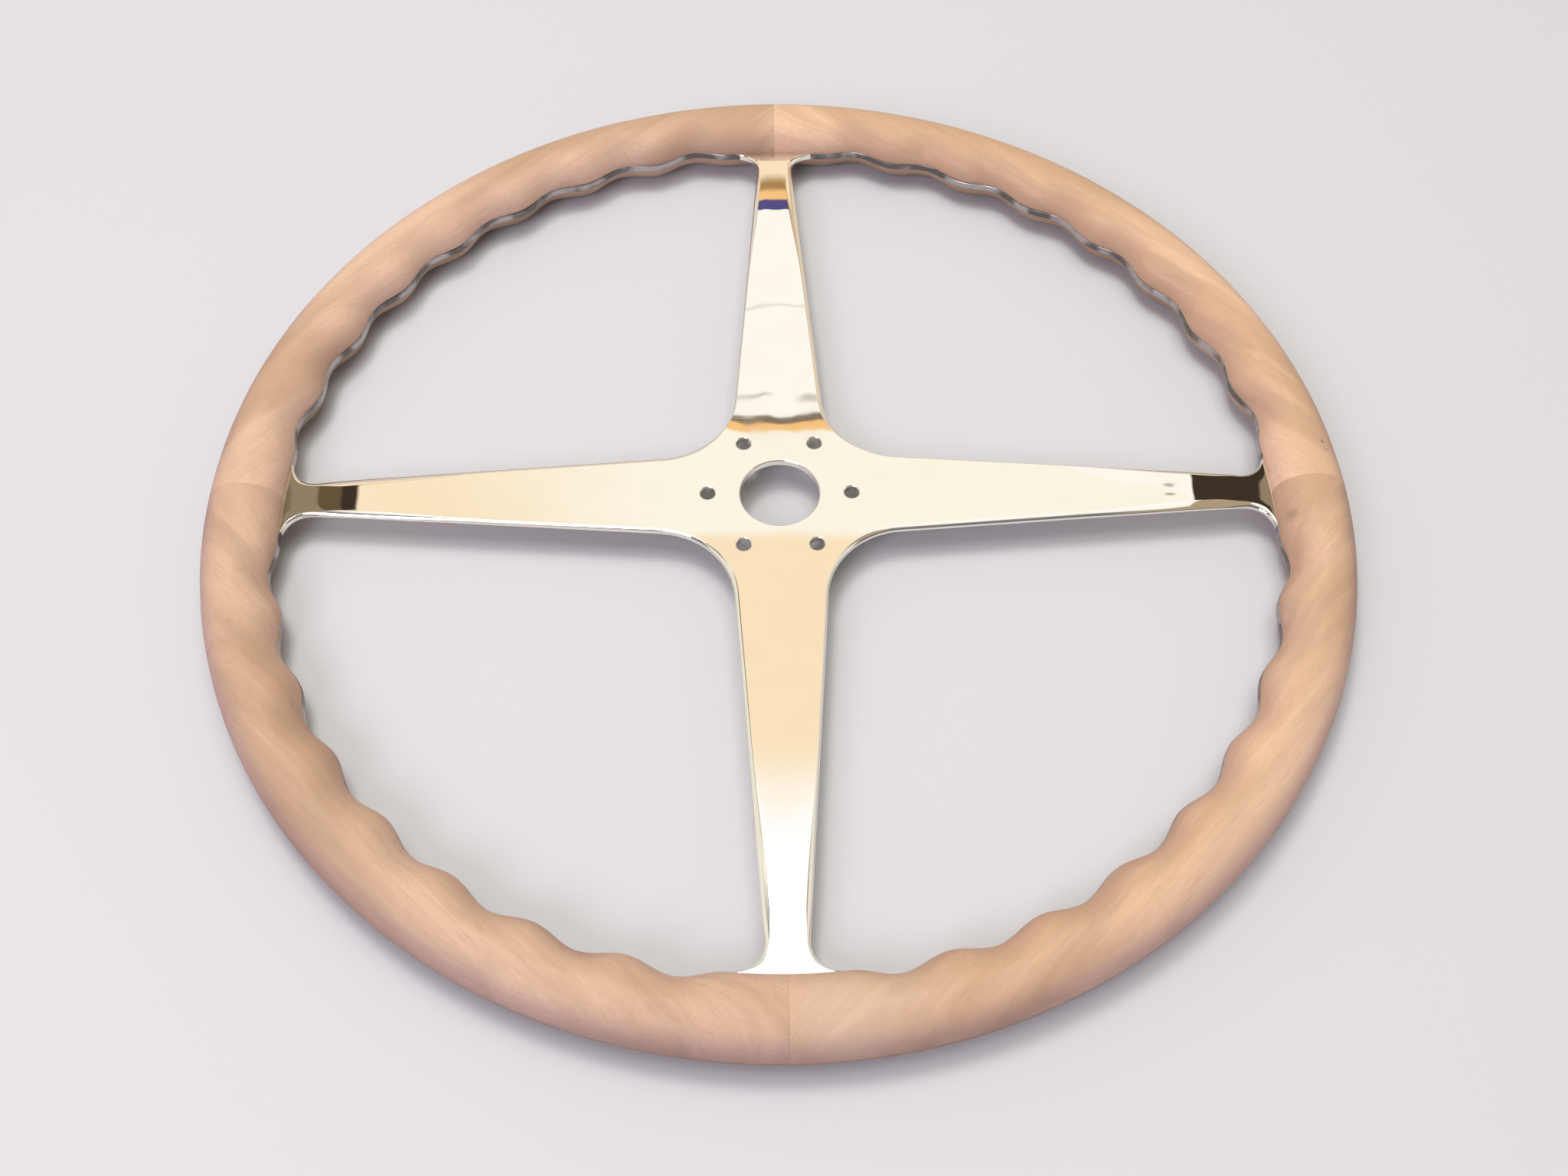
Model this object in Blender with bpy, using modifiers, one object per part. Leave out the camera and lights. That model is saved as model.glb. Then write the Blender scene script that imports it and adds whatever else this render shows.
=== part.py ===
"""Wood-rimmed steering wheel on a one-piece, four-spoke metal spider.

Frame: metres, origin on the wheel's axis in the plane its back rests on, +Z towards the
driver, +Y towards the top of the wheel (12 o'clock), +X towards 3 o'clock.
The spider's outer ring is clamped between a front and a back layer of wooden quarter
segments, held together by countersunk wood screws driven in from the back.
"""
import math

import bmesh
import bpy
from mathutils import Vector

GAP = 0.0003
MERGE_DISTANCE = 0.00002
QUARTER = math.pi / 2

# Grip: an oval section, with finger hollows along its inner side
OUTER_RADIUS = 0.215
GRIP_HALF_WIDTH = 0.014
GRIP_HALF_HEIGHT = 0.012
GRIP_RADIUS = OUTER_RADIUS - GRIP_HALF_WIDTH
INNER_RADIUS = GRIP_RADIUS - GRIP_HALF_WIDTH
RING_PLANE = GRIP_HALF_HEIGHT
CROWN_STEPS = 4
SEGMENT_STEPS = 37

HOLLOWS_PER_QUARTER = 8
HOLLOW_DEPTH = 0.0034
PLAIN_ANGLE = math.radians(6.0)
HOLLOW_PITCH = (QUARTER - 2 * PLAIN_ANGLE) / HOLLOWS_PER_QUARTER
HOLLOW_FADE_RADIUS = GRIP_RADIUS + 0.003
HOLLOW_FADE_POWER = 1.4

# Spider: a flat plate whose hub stands a little proud of its ring
PLATE_THICKNESS = 0.003
RING_OUTER_RADIUS = 0.2075
HUB_RISE = 0.0015
JOGGLE_START = 0.152
JOGGLE_END = 0.180
JOGGLE_STEPS = 6
SPOKE_ROOT_RADIUS = 0.045
SPOKE_ROOT_HALF_WIDTH = 0.0172
SPOKE_TIP_RADIUS = 0.174
SPOKE_TIP_HALF_WIDTH = 0.0076
HUB_FILLET_RADIUS = 0.030
RIM_FILLET_RADIUS = 0.010
CENTRE_HOLE_RADIUS = 0.015
BOLT_COUNT = 6
BOLT_CIRCLE_RADIUS = 0.0272
BOLT_HOLE_RADIUS = 0.00275
RING_STEPS = 96
CENTRE_HOLE_STEPS = 36
BOLT_HOLE_STEPS = 14
HUB_FILLET_STEPS = 8
RIM_FILLET_STEPS = 6
STEPS_PER_HOLLOW = 4

# Wood screws: slotted, countersunk, head just below the surface of the back
SCREW_COUNT = 24
SCREW_CIRCLE_RADIUS = GRIP_RADIUS
SCREW_HEAD_RADIUS = 0.0035
SCREW_HEAD_EDGE = 0.0003
SCREW_SHANK_RADIUS = 0.00175
SCREW_HEAD_PLANE = 0.0006
SCREW_TAPER_START = 0.0165
SCREW_TIP = 0.0195
SCREW_CLEARANCE = 0.0004
SCREW_SIDES = 10
SCREW_TURN = math.radians(137.5)
SLOT_WIDTH = 0.0009
SLOT_DEPTH = 0.0009

# Base colours, linear
WALNUT = (0.68, 0.43, 0.25)
WALNUT_SHADES = (1.00, 0.95, 1.03, 0.97)
POLISHED_METAL = (0.90, 0.84, 0.73)
BRASS = (0.72, 0.49, 0.20)


def clear_scene():
    """Remove every object that the scene starts with."""
    for obj in list(bpy.data.objects):
        bpy.data.objects.remove(obj, do_unlink=True)


def new_collection(name):
    """Make a collection in the scene."""
    collection = bpy.data.collections.new(name)
    bpy.context.scene.collection.children.link(collection)
    return collection


def make_material(name, colour, roughness, metallic):
    """Make a Principled material of one colour."""
    material = bpy.data.materials.new(name)
    material.use_nodes = True
    shader = material.node_tree.nodes["Principled BSDF"]
    shader.inputs["Base Color"].default_value = (*colour, 1.0)
    shader.inputs["Roughness"].default_value = roughness
    shader.inputs["Metallic"].default_value = metallic
    return material


def add_object(name, data, collection, parent=None):
    """Link an object into a collection, on its parent."""
    obj = bpy.data.objects.new(name, data)
    collection.objects.link(obj)
    obj.parent = parent
    return obj


def finish_mesh(mesh, material, sharp_angle=math.radians(35)):
    """Give a mesh its material and smooth shading with crisp edges."""
    mesh.materials.clear()
    mesh.materials.append(material)
    mesh.shade_smooth()
    mesh.set_sharp_from_angle(angle=sharp_angle)


def evaluated_mesh(obj, name):
    """Return an object's shape, with its modifiers, as a new mesh, and remove the object."""
    bpy.context.view_layer.update()
    evaluated = obj.evaluated_get(bpy.context.evaluated_depsgraph_get())
    mesh = bpy.data.meshes.new_from_object(evaluated)
    mesh.name = name
    bpy.data.objects.remove(obj, do_unlink=True)
    return mesh


def as_cutter(obj):
    """Mark an object as one that only cuts others."""
    obj.hide_render = True
    obj.display_type = "WIRE"


def cut(obj, cutter):
    """Cut one object's shape out of another."""
    modifier = obj.modifiers.new("cut_" + cutter.name, "BOOLEAN")
    modifier.operation = "DIFFERENCE"
    modifier.solver = "EXACT"
    modifier.object = cutter


def polar(radius, angle):
    """Return a point in the plane from its radius and angle."""
    return Vector((radius * math.cos(angle), radius * math.sin(angle)))


def arc(centre, radius, start, end, steps):
    """Return points along an arc, both ends included."""
    turn = (end - start) / steps
    return [centre + polar(radius, start + turn * i) for i in range(steps + 1)]


def circle(centre, radius, steps):
    """Return points round a circle."""
    return arc(centre, radius, 0, 2 * math.pi, steps)[:-1]


def hollow_depth(angle):
    """Depth of the finger hollows at an angle round the rim. Beside a spoke there are none."""
    local = angle % QUARTER
    if not PLAIN_ANGLE < local < QUARTER - PLAIN_ANGLE:
        return 0.0
    return HOLLOW_DEPTH * math.sin(math.pi * (local - PLAIN_ANGLE) / HOLLOW_PITCH) ** 2


def hollow_share(radius):
    """Share of the hollows' depth that reaches a radius: all at the inner edge."""
    reach = (HOLLOW_FADE_RADIUS - radius) / (HOLLOW_FADE_RADIUS - INNER_RADIUS)
    return min(max(reach, 0.0), 1.0) ** HOLLOW_FADE_POWER


def half_section():
    """Outline of the front wood layer's section, as (radius, height over the ring plane).

    The oval's front half, with a rebate that takes the spider's ring.
    """
    lip = GAP / 2
    rebate = PLATE_THICKNESS / 2 + GAP
    lip_angle = math.asin(lip / GRIP_HALF_HEIGHT)
    rebate_angle = math.asin(rebate / GRIP_HALF_HEIGHT)
    points = []
    for i in range(-CROWN_STEPS, CROWN_STEPS + 1):
        reach = QUARTER - (lip_angle if i < 0 else rebate_angle)
        angle = QUARTER + reach * i / CROWN_STEPS
        radius = GRIP_RADIUS + GRIP_HALF_WIDTH * math.cos(angle)
        points.append((radius, GRIP_HALF_HEIGHT * math.sin(angle)))
    points.append((RING_OUTER_RADIUS + GAP, rebate))
    points.append((RING_OUTER_RADIUS + GAP, lip))
    return points


def make_rim_segment(name, start, side, material, collection, parent):
    """Make one wooden quarter of the front (side 1) or back (side -1) layer."""
    trim = GAP / 2 / INNER_RADIUS
    outline = [Vector((radius, 0, side * height)) for radius, height in half_section()]
    profile = bpy.data.meshes.new(name + "_section")
    edges = [(i, (i + 1) % len(outline)) for i in range(len(outline))]
    profile.from_pydata(outline, edges, [])
    sweep = add_object(name + "_sweep", profile, collection)
    modifier = sweep.modifiers.new("sweep", "SCREW")
    modifier.axis = "Z"
    modifier.angle = QUARTER - 2 * trim
    modifier.steps = SEGMENT_STEPS
    modifier.render_steps = SEGMENT_STEPS
    modifier.merge_threshold = MERGE_DISTANCE
    mesh = evaluated_mesh(sweep, name)

    shape = bmesh.new()
    shape.from_mesh(mesh)
    bmesh.ops.holes_fill(shape, edges=shape.edges[:], sides=len(outline))
    for vert in shape.verts:
        radius = vert.co.xy.length
        angle = math.atan2(vert.co.y, vert.co.x) + start + trim
        radius += hollow_depth(angle) * hollow_share(radius)
        vert.co.xy = polar(radius, angle)
    bmesh.ops.recalc_face_normals(shape, faces=shape.faces)
    shape.to_mesh(mesh)
    shape.free()
    finish_mesh(mesh, material)
    segment = add_object(name, mesh, collection, parent)
    segment.location.z = RING_PLANE
    return segment


def window_outline():
    """Outline of the window between the spokes at +X and +Y.

    Along the first spoke's side, round to the rim's finger hollows, and back along the
    second spoke's side, which mirrors the first about the window's diagonal.
    """
    taper = math.atan2(SPOKE_ROOT_HALF_WIDTH - SPOKE_TIP_HALF_WIDTH,
                       SPOKE_TIP_RADIUS - SPOKE_ROOT_RADIUS)
    along = Vector((math.cos(taper), -math.sin(taper)))
    away = Vector((math.sin(taper), math.cos(taper)))
    offset = away.dot(Vector((SPOKE_ROOT_RADIUS, SPOKE_ROOT_HALF_WIDTH)))

    hub_reach = (offset + HUB_FILLET_RADIUS) / (away.x + away.y)
    hub_centre = Vector((hub_reach, hub_reach))
    hub_fillet = arc(hub_centre, HUB_FILLET_RADIUS, math.pi * 1.25,
                     math.pi * 1.5 - taper, HUB_FILLET_STEPS)

    height = offset + RIM_FILLET_RADIUS
    rim_reach = INNER_RADIUS - RIM_FILLET_RADIUS
    rim_centre = away * height + along * math.sqrt(rim_reach ** 2 - height ** 2)
    rim_angle = math.atan2(rim_centre.y, rim_centre.x)
    rim_fillet = arc(rim_centre, RIM_FILLET_RADIUS, -math.pi / 2 - taper,
                     rim_angle, RIM_FILLET_STEPS)

    step = HOLLOW_PITCH / STEPS_PER_HOLLOW
    count = HOLLOWS_PER_QUARTER * STEPS_PER_HOLLOW // 2
    angles = [PLAIN_ANGLE + step * i for i in range(count)]
    waves = [polar(INNER_RADIUS + hollow_depth(angle), angle) for angle in angles]

    half = hub_fillet[1:] + rim_fillet + waves
    mirrored = [Vector((point.y, point.x)) for point in reversed(half)]
    middle = polar(INNER_RADIUS + hollow_depth(QUARTER / 2), QUARTER / 2)
    return [hub_fillet[0]] + half + [middle] + mirrored


def turned(points, angle):
    """Turn an outline about the wheel's axis."""
    cosine = math.cos(angle)
    sine = math.sin(angle)
    return [Vector((p.x * cosine - p.y * sine, p.x * sine + p.y * cosine)) for p in points]


def spider_outlines():
    """Outlines of the spider's plate: its edge, and every opening through it."""
    axis = Vector((0, 0))
    outlines = [circle(axis, RING_OUTER_RADIUS, RING_STEPS)]
    for quarter in range(4):
        outlines.append(turned(window_outline(), QUARTER * quarter))
    outlines.append(circle(axis, CENTRE_HOLE_RADIUS, CENTRE_HOLE_STEPS))
    for i in range(BOLT_COUNT):
        centre = polar(BOLT_CIRCLE_RADIUS, 2 * math.pi * i / BOLT_COUNT)
        outlines.append(circle(centre, BOLT_HOLE_RADIUS, BOLT_HOLE_STEPS))
    for angle in screw_angles():
        centre = polar(SCREW_CIRCLE_RADIUS, angle)
        outlines.append(circle(centre, SCREW_SHANK_RADIUS + SCREW_CLEARANCE, SCREW_SIDES))
    return outlines


def joggle_height(radius):
    """Height of the plate over the ring plane: zero at the ring, full at the hub."""
    share = (JOGGLE_END - radius) / (JOGGLE_END - JOGGLE_START)
    share = min(max(share, 0.0), 1.0)
    return HUB_RISE * (1 - math.cos(math.pi * share)) / 2


def add_joggle(shape):
    """Divide the spokes across their joggle and lift the hub."""
    for quarter in range(4):
        outward = Vector((*polar(1, QUARTER * quarter), 0))
        for i in range(JOGGLE_STEPS + 1):
            station = JOGGLE_START + (JOGGLE_END - JOGGLE_START) * i / JOGGLE_STEPS
            inner_faces = set()
            for vert in shape.verts:
                if vert.co.xy.length < INNER_RADIUS - MERGE_DISTANCE:
                    inner_faces.update(vert.link_faces)
            geometry = set(inner_faces)
            for face in inner_faces:
                geometry.update(face.edges)
                geometry.update(face.verts)
            bmesh.ops.bisect_plane(shape, geom=list(geometry), dist=MERGE_DISTANCE,
                                   plane_co=outward * station, plane_no=outward)
    for vert in shape.verts:
        vert.co.z += joggle_height(vert.co.xy.length)


def make_spider(material, collection, parent):
    """Make the plate that is hub, spokes and ring in one."""
    outline = bpy.data.curves.new("spider_outline", "CURVE")
    outline.dimensions = "2D"
    outline.fill_mode = "BOTH"
    outline.extrude = PLATE_THICKNESS / 2
    for points in spider_outlines():
        spline = outline.splines.new("POLY")
        spline.points.add(len(points) - 1)
        for target, point in zip(spline.points, points):
            target.co = (point.x, point.y, 0, 1)
        spline.use_cyclic_u = True
    mesh = evaluated_mesh(add_object("spider_outline", outline, collection), "spider")

    shape = bmesh.new()
    shape.from_mesh(mesh)
    bmesh.ops.remove_doubles(shape, verts=shape.verts, dist=MERGE_DISTANCE)
    add_joggle(shape)
    bmesh.ops.triangulate(shape, faces=shape.faces)
    bmesh.ops.recalc_face_normals(shape, faces=shape.faces)
    shape.to_mesh(mesh)
    shape.free()
    finish_mesh(mesh, material)
    spider = add_object("spider", mesh, collection, parent)
    spider.location.z = RING_PLANE
    return spider


def screw_angles():
    """Angles of the screws: evenly spaced, and clear of every joint in the wood."""
    pitch = 2 * math.pi / SCREW_COUNT
    return [pitch * (i + 0.5) for i in range(SCREW_COUNT)]


def turn_profile(name, points, collection):
    """Turn a profile, given as (radius, height) up the axis, into a closed mesh."""
    profile = bpy.data.meshes.new(name + "_profile")
    edges = [(i, i + 1) for i in range(len(points) - 1)]
    profile.from_pydata([(radius, 0, height) for radius, height in points], edges, [])
    blank = add_object(name + "_blank", profile, collection)
    modifier = blank.modifiers.new("turn", "SCREW")
    modifier.axis = "Z"
    modifier.angle = 2 * math.pi
    modifier.steps = SCREW_SIDES
    modifier.render_steps = SCREW_SIDES
    modifier.use_merge_vertices = True
    modifier.merge_threshold = MERGE_DISTANCE
    mesh = evaluated_mesh(blank, name)
    shape = bmesh.new()
    shape.from_mesh(mesh)
    bmesh.ops.remove_doubles(shape, verts=shape.verts, dist=MERGE_DISTANCE)
    bmesh.ops.recalc_face_normals(shape, faces=shape.faces)
    shape.to_mesh(mesh)
    shape.free()
    return mesh


def screw_profile():
    """Profile of a countersunk screw, head down: (radius, height over the resting plane)."""
    cone_start = SCREW_HEAD_PLANE + SCREW_HEAD_EDGE
    cone_end = cone_start + SCREW_HEAD_RADIUS - SCREW_SHANK_RADIUS
    return [(0, SCREW_HEAD_PLANE), (SCREW_HEAD_RADIUS, SCREW_HEAD_PLANE),
            (SCREW_HEAD_RADIUS, cone_start), (SCREW_SHANK_RADIUS, cone_end),
            (SCREW_SHANK_RADIUS, SCREW_TAPER_START), (0, SCREW_TIP)]


def hole_profile():
    """Profile of a screw's hole through the wood, from below the back to past its tip."""
    cone_start = SCREW_HEAD_PLANE + SCREW_HEAD_EDGE + SCREW_CLEARANCE / 2
    cone_end = cone_start + SCREW_HEAD_RADIUS - SCREW_SHANK_RADIUS
    head = SCREW_HEAD_RADIUS + SCREW_CLEARANCE
    shank = SCREW_SHANK_RADIUS + SCREW_CLEARANCE
    below = -GRIP_HALF_HEIGHT / 4
    above = SCREW_TIP + SCREW_CLEARANCE
    return [(0, below), (head, below), (head, cone_start), (shank, cone_end),
            (shank, above), (0, above)]


def make_hole_cutter(collection):
    """Make the cutter for all the screws' holes, as one object."""
    mesh = turn_profile("screw_holes", hole_profile(), collection)
    single = bmesh.new()
    single.from_mesh(mesh)
    shape = bmesh.new()
    for angle in screw_angles():
        offset = polar(SCREW_CIRCLE_RADIUS, angle)
        placed = {vert: shape.verts.new(vert.co + offset.to_3d()) for vert in single.verts}
        for face in single.faces:
            shape.faces.new([placed[vert] for vert in face.verts])
    shape.to_mesh(mesh)
    shape.free()
    single.free()
    cutter = add_object("screw_holes", mesh, collection)
    as_cutter(cutter)
    return cutter


def make_screws(material, cutters, collection, parent):
    """Make the wood screws, their slots turned each its own way."""
    blank_mesh = turn_profile("screw_blank", screw_profile(), cutters)
    blank = add_object("screw_blank", blank_mesh, cutters)
    bpy.ops.mesh.primitive_cube_add(size=1)
    slot = bpy.context.object
    slot.name = "screw_slot"
    for home in list(slot.users_collection):
        home.objects.unlink(slot)
    cutters.objects.link(slot)
    slot.scale = (3 * SCREW_HEAD_RADIUS, SLOT_WIDTH, 2 * SLOT_DEPTH)
    slot.location.z = SCREW_HEAD_PLANE
    as_cutter(slot)
    cut(blank, slot)
    mesh = evaluated_mesh(blank, "rim_screw")
    finish_mesh(mesh, material)
    for i, angle in enumerate(screw_angles()):
        screw = add_object(f"rim_screw_{i + 1:02d}", mesh, collection, parent)
        screw.location = (*polar(SCREW_CIRCLE_RADIUS, angle), 0)
        screw.rotation_euler.z = SCREW_TURN * i


def make_rim(cutter, collection, parent):
    """Make both wood layers. The back layer's joints lie midway between the front's."""
    front = ("upper_right", "upper_left", "lower_left", "lower_right")
    back = ("top", "left", "bottom", "right")
    for i in range(4):
        colour = tuple(WALNUT_SHADES[i] * value for value in WALNUT)
        start = QUARTER * i
        layers = ((f"rim_front_{front[i]}", start, 1),
                  (f"rim_back_{back[i]}", start + QUARTER / 2, -1))
        for name, angle, side in layers:
            wood = make_material(name + "_walnut", colour, 0.48, 0.0)
            segment = make_rim_segment(name, angle, side, wood, collection, parent)
            cut(segment, cutter)


def main():
    clear_scene()
    parts = new_collection("steering_wheel")
    cutters = new_collection("cutters")
    wheel = add_object("wheel_axis", None, parts)
    make_spider(make_material("polished_metal", POLISHED_METAL, 0.08, 1.0), parts, wheel)
    make_rim(make_hole_cutter(cutters), parts, wheel)
    make_screws(make_material("brass", BRASS, 0.3, 1.0), cutters, parts, wheel)


main()
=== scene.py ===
"""Looks of the wood-rimmed steering wheel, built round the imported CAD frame."""
import math

import bmesh
import bpy
import numpy as np
from mathutils import Matrix, Vector, noise
from mathutils.geometry import delaunay_2d_cdt
from mathutils.kdtree import KDTree


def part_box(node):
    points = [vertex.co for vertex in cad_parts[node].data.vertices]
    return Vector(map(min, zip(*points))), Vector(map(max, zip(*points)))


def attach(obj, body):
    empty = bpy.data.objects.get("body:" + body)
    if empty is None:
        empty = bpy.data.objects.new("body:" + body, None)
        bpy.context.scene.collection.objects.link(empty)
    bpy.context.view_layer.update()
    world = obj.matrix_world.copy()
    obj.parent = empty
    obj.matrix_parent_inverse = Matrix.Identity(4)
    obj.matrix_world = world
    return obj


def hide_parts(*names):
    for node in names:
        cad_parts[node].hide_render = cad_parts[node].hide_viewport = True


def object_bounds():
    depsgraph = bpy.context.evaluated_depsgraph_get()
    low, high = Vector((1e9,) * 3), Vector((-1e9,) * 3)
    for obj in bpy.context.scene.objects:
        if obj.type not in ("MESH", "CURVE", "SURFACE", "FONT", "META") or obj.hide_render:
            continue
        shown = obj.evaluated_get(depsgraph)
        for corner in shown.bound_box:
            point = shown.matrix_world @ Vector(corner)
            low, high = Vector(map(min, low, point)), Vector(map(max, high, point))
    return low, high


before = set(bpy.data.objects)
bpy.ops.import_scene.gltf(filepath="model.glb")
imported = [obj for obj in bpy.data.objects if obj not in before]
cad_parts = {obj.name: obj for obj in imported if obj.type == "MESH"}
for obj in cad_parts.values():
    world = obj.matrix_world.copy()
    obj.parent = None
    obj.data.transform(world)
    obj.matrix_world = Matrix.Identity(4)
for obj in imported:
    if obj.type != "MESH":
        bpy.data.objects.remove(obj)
cad_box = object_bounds()
spider_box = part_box("spider")
screw_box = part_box("rim_screw_01")

MM = 0.001
QUARTER = math.pi / 2

# Rim, from the frame
OUTER_RADIUS = min(cad_box[1].x, cad_box[1].y)
HALF_HEIGHT = cad_box[1].z / 2
RING_PLANE = HALF_HEIGHT
GRIP_HALF_WIDTH = 14 * MM
GRIP_RADIUS = OUTER_RADIUS - GRIP_HALF_WIDTH
INNER_RADIUS = GRIP_RADIUS - GRIP_HALF_WIDTH
PLAIN_ANGLE = math.radians(6.0)
HOLLOWS_PER_QUARTER = 8
HOLLOW_PITCH = (QUARTER - 2 * PLAIN_ANGLE) / HOLLOWS_PER_QUARTER
HOLLOW_DEPTH = 3.4 * MM
HOLLOW_WRAP = 0.75
SEGMENT_STEPS = 260
SECTION_STEPS = 34
JOINT_GAP = 0.02 * MM
JOINT_EASE = 0.04 * MM
LIP_EASE = 0.3 * MM
RING_EASE = 0.14 * MM
HAND_SHAPING = 0.16 * MM
HAND_SHAPING_SIZE = 34 * MM
HAND_SHAPING_START = 8 * MM
EASE_BULGE = 0.3
LAYER_LIP = 0.02 * MM
LIP_ZONE = 0.01 * HALF_HEIGHT
SEAT_GAP = 0.02 * MM
REBATE_GAP = 0.05 * MM
WOOD_CREASE = 38

# Spider
PLATE_THICKNESS = 3 * MM
HUB_RISE = spider_box[1].z - spider_box[0].z - PLATE_THICKNESS
RING_OUTER_RADIUS = spider_box[1].x
SHOULDER_START = 148.6 * MM
SIDE_SHOULDER_SHIFT = 4 * MM
SHOULDER_END = INNER_RADIUS
SHOULDER_BOW = 3 * MM
SHOULDER_POWER = 0.75
SPOKE_ROOT = Vector((45, 17.2)) * MM
SPOKE_TIP = Vector((174, 7.6)) * MM
HUB_FILLET_RADIUS = 30 * MM
RIM_FILLET_RADIUS = 10 * MM
CENTRE_HOLE_RADIUS = 15 * MM
BOLT_COUNT = 6
BOLT_CIRCLE_RADIUS = 27.2 * MM
BOLT_HOLE_RADIUS = 2.75 * MM
CLOCKWISE_EDGE_WIDTHS = (1.9 * MM, 3.6 * MM)
OTHER_EDGE_WIDTHS = (1.0 * MM, 2.1 * MM)
EDGE_WIDENING = (110 * MM, 158 * MM)
EDGE_NARROWING = (164 * MM, 178 * MM)
EDGE_FADE = 5 * MM
EDGE_HEIGHT = 1.1 * MM
EDGE_ROUNDNESS = 1.45
HOLE_EDGE = 0.45 * MM
SCREW_HOLE_EDGE = 0.1 * MM
RING_EDGE = 0.35 * MM
EDGE_STEPS = 8
OUTLINE_SPACING = 1.2 * MM
RING_SPACING = 3 * MM
BOLT_HOLE_SPACING = 0.6 * MM
FACE_SPACING = 1.6 * MM
FACE_CLEARANCE = 0.55 * FACE_SPACING
FACE_REACH = 60 * MM
SLOPE_STEP = 0.05 * MM
OFF_CENTRE_LIMIT = 1.2
CROWN = 0.20 * MM
CROWN_POWER = 4
CROWN_START = 105 * MM
CROWN_FULL = 155 * MM
POLISH_WAVE = 0.004 * MM
POLISH_WAVE_SIZE = 18 * MM
SATIN_START = INNER_RADIUS - 0.4 * MM

# Screws
SCREW_COUNT = 24
SCREW_HEAD_PLANE = screw_box[0].z
SCREW_TIP = screw_box[1].z
SCREW_HEAD_RADIUS = 3.45 * MM
SCREW_SHANK_RADIUS = 1.75 * MM
SCREW_HEAD_RIM = 0.3 * MM
SCREW_POINT = 3 * MM
SCREW_EDGE = 0.07 * MM
SCREW_BEVEL_ANGLE = 50
SCREW_CREASE = 35
SCREW_FIT = 0.06 * MM
HOLE_START = -3 * MM
HOLE_CLEARANCE = 0.3 * MM
SCREW_SIDES = 40
SCREW_TURN = math.radians(137.5)
SLOT_WIDTH = 0.9 * MM
SLOT_DEPTH = 0.9 * MM

# Camera and floor
CAMERA_LENS = 36.74
CAMERA_SENSOR = 36.0
CAMERA_DISTANCE = 0.5845
CAMERA_ELEVATION = math.radians(57.04)
CAMERA_AZIMUTH = math.radians(-1.35)
CAMERA_ROLL = math.radians(0.577)
CAMERA_TARGET = Vector((0.0010, -0.0411, RING_PLANE))
FLOOR_RADIUS = 1.8
FLOOR_FADE_START = 0.6
FLOOR_DROP = 0.05 * MM
FLOOR_SIDES = 128
FLOOR_COLOUR = (0.46, 0.46, 0.47, 1)
FLOOR_ROUGHNESS = 0.9


# ---------------------------------------------------------------- shader helpers

def add_node(tree, kind, inputs=None, **settings):
    """Add a shader node, set its settings, and set or link its inputs."""
    made = tree.nodes.new(kind)
    for key, value in settings.items():
        setattr(made, key, value)
    for key, value in (inputs or {}).items():
        if isinstance(value, bpy.types.NodeSocket):
            tree.links.new(value, made.inputs[key])
        else:
            made.inputs[key].default_value = value
    return made


def maths(tree, operation, first, second=0.0):
    """Add a math node and return its output."""
    made = add_node(tree, "ShaderNodeMath", {0: first, 1: second}, operation=operation)
    return made.outputs[0]


def rise(tree, value, low, high, bottom=0.0, top=1.0):
    """Smooth step: bottom where value is under low, top where it is over high."""
    made = add_node(tree, "ShaderNodeMapRange", {"Value": value}, interpolation_type="SMOOTHSTEP")
    if low <= high:
        limits = (low, high, bottom, top)
    else:
        limits = (high, low, top, bottom)
    for name, limit in zip(("From Min", "From Max", "To Min", "To Max"), limits):
        made.inputs[name].default_value = limit
    return made.outputs["Result"]


def mix(tree, factor, first, second, blend="MIX"):
    """Mix two colours and return the result."""
    made = tree.nodes.new("ShaderNodeMix")
    made.data_type = "RGBA"
    made.blend_type = blend
    for index, value in ((0, factor), (6, first), (7, second)):
        if isinstance(value, bpy.types.NodeSocket):
            tree.links.new(value, made.inputs[index])
        elif index == 0:
            made.inputs[index].default_value = value
        else:
            made.inputs[index].default_value = (*value, 1.0)
    return made.outputs[2]


def stretched(tree, point, stretch, offset=(0, 0, 0)):
    """Scale and shift a coordinate."""
    made = add_node(tree, "ShaderNodeMapping", {"Vector": point})
    made.inputs["Scale"].default_value = stretch
    made.inputs["Location"].default_value = offset
    return made.outputs["Vector"]


def noise_value(tree, point, scale=1.0, detail=3.0, roughness=0.55, distortion=0.0):
    """Add a noise texture and return its value."""
    made = add_node(tree, "ShaderNodeTexNoise",
                    {"Vector": point, "Scale": scale, "Detail": detail,
                     "Roughness": roughness, "Distortion": distortion})
    return made.outputs["Fac"]


def new_material(name):
    """Make a material and return it with its node tree and Principled shader."""
    material = bpy.data.materials.new(name)
    material.use_nodes = True
    tree = material.node_tree
    return material, tree, tree.nodes["Principled BSDF"]


# ---------------------------------------------------------------- materials

WOOD_LIGHT = (0.555, 0.382, 0.258)
WOOD_MIDDLE = (0.415, 0.272, 0.168)
WOOD_DARK = (0.24, 0.150, 0.095)
WOOD_SMOKE = (0.26, 0.19, 0.15)
WOOD_STREAK = (0.66, 0.475, 0.325)
WOOD_KNOT = (0.10, 0.055, 0.035)
WOOD_PALE = (0.63, 0.51, 0.43)
# The grip's sides: painted shade with a painted cool tint of bounced light
OUTER_SIDE_SHADE = (0.80, 0.775, 0.97)
INNER_SIDE_SHADE = (0.92, 0.89, 1.00)
WOOD_SPECULAR = 0.4
PITH_DISTANCE = 0.09
PITH_WANDER = 0.03
GRAIN_LEAN = 0.06
BAND_WARP = 0.03
BANDS_ALONG = 2
BANDS_ACROSS = 160

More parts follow.
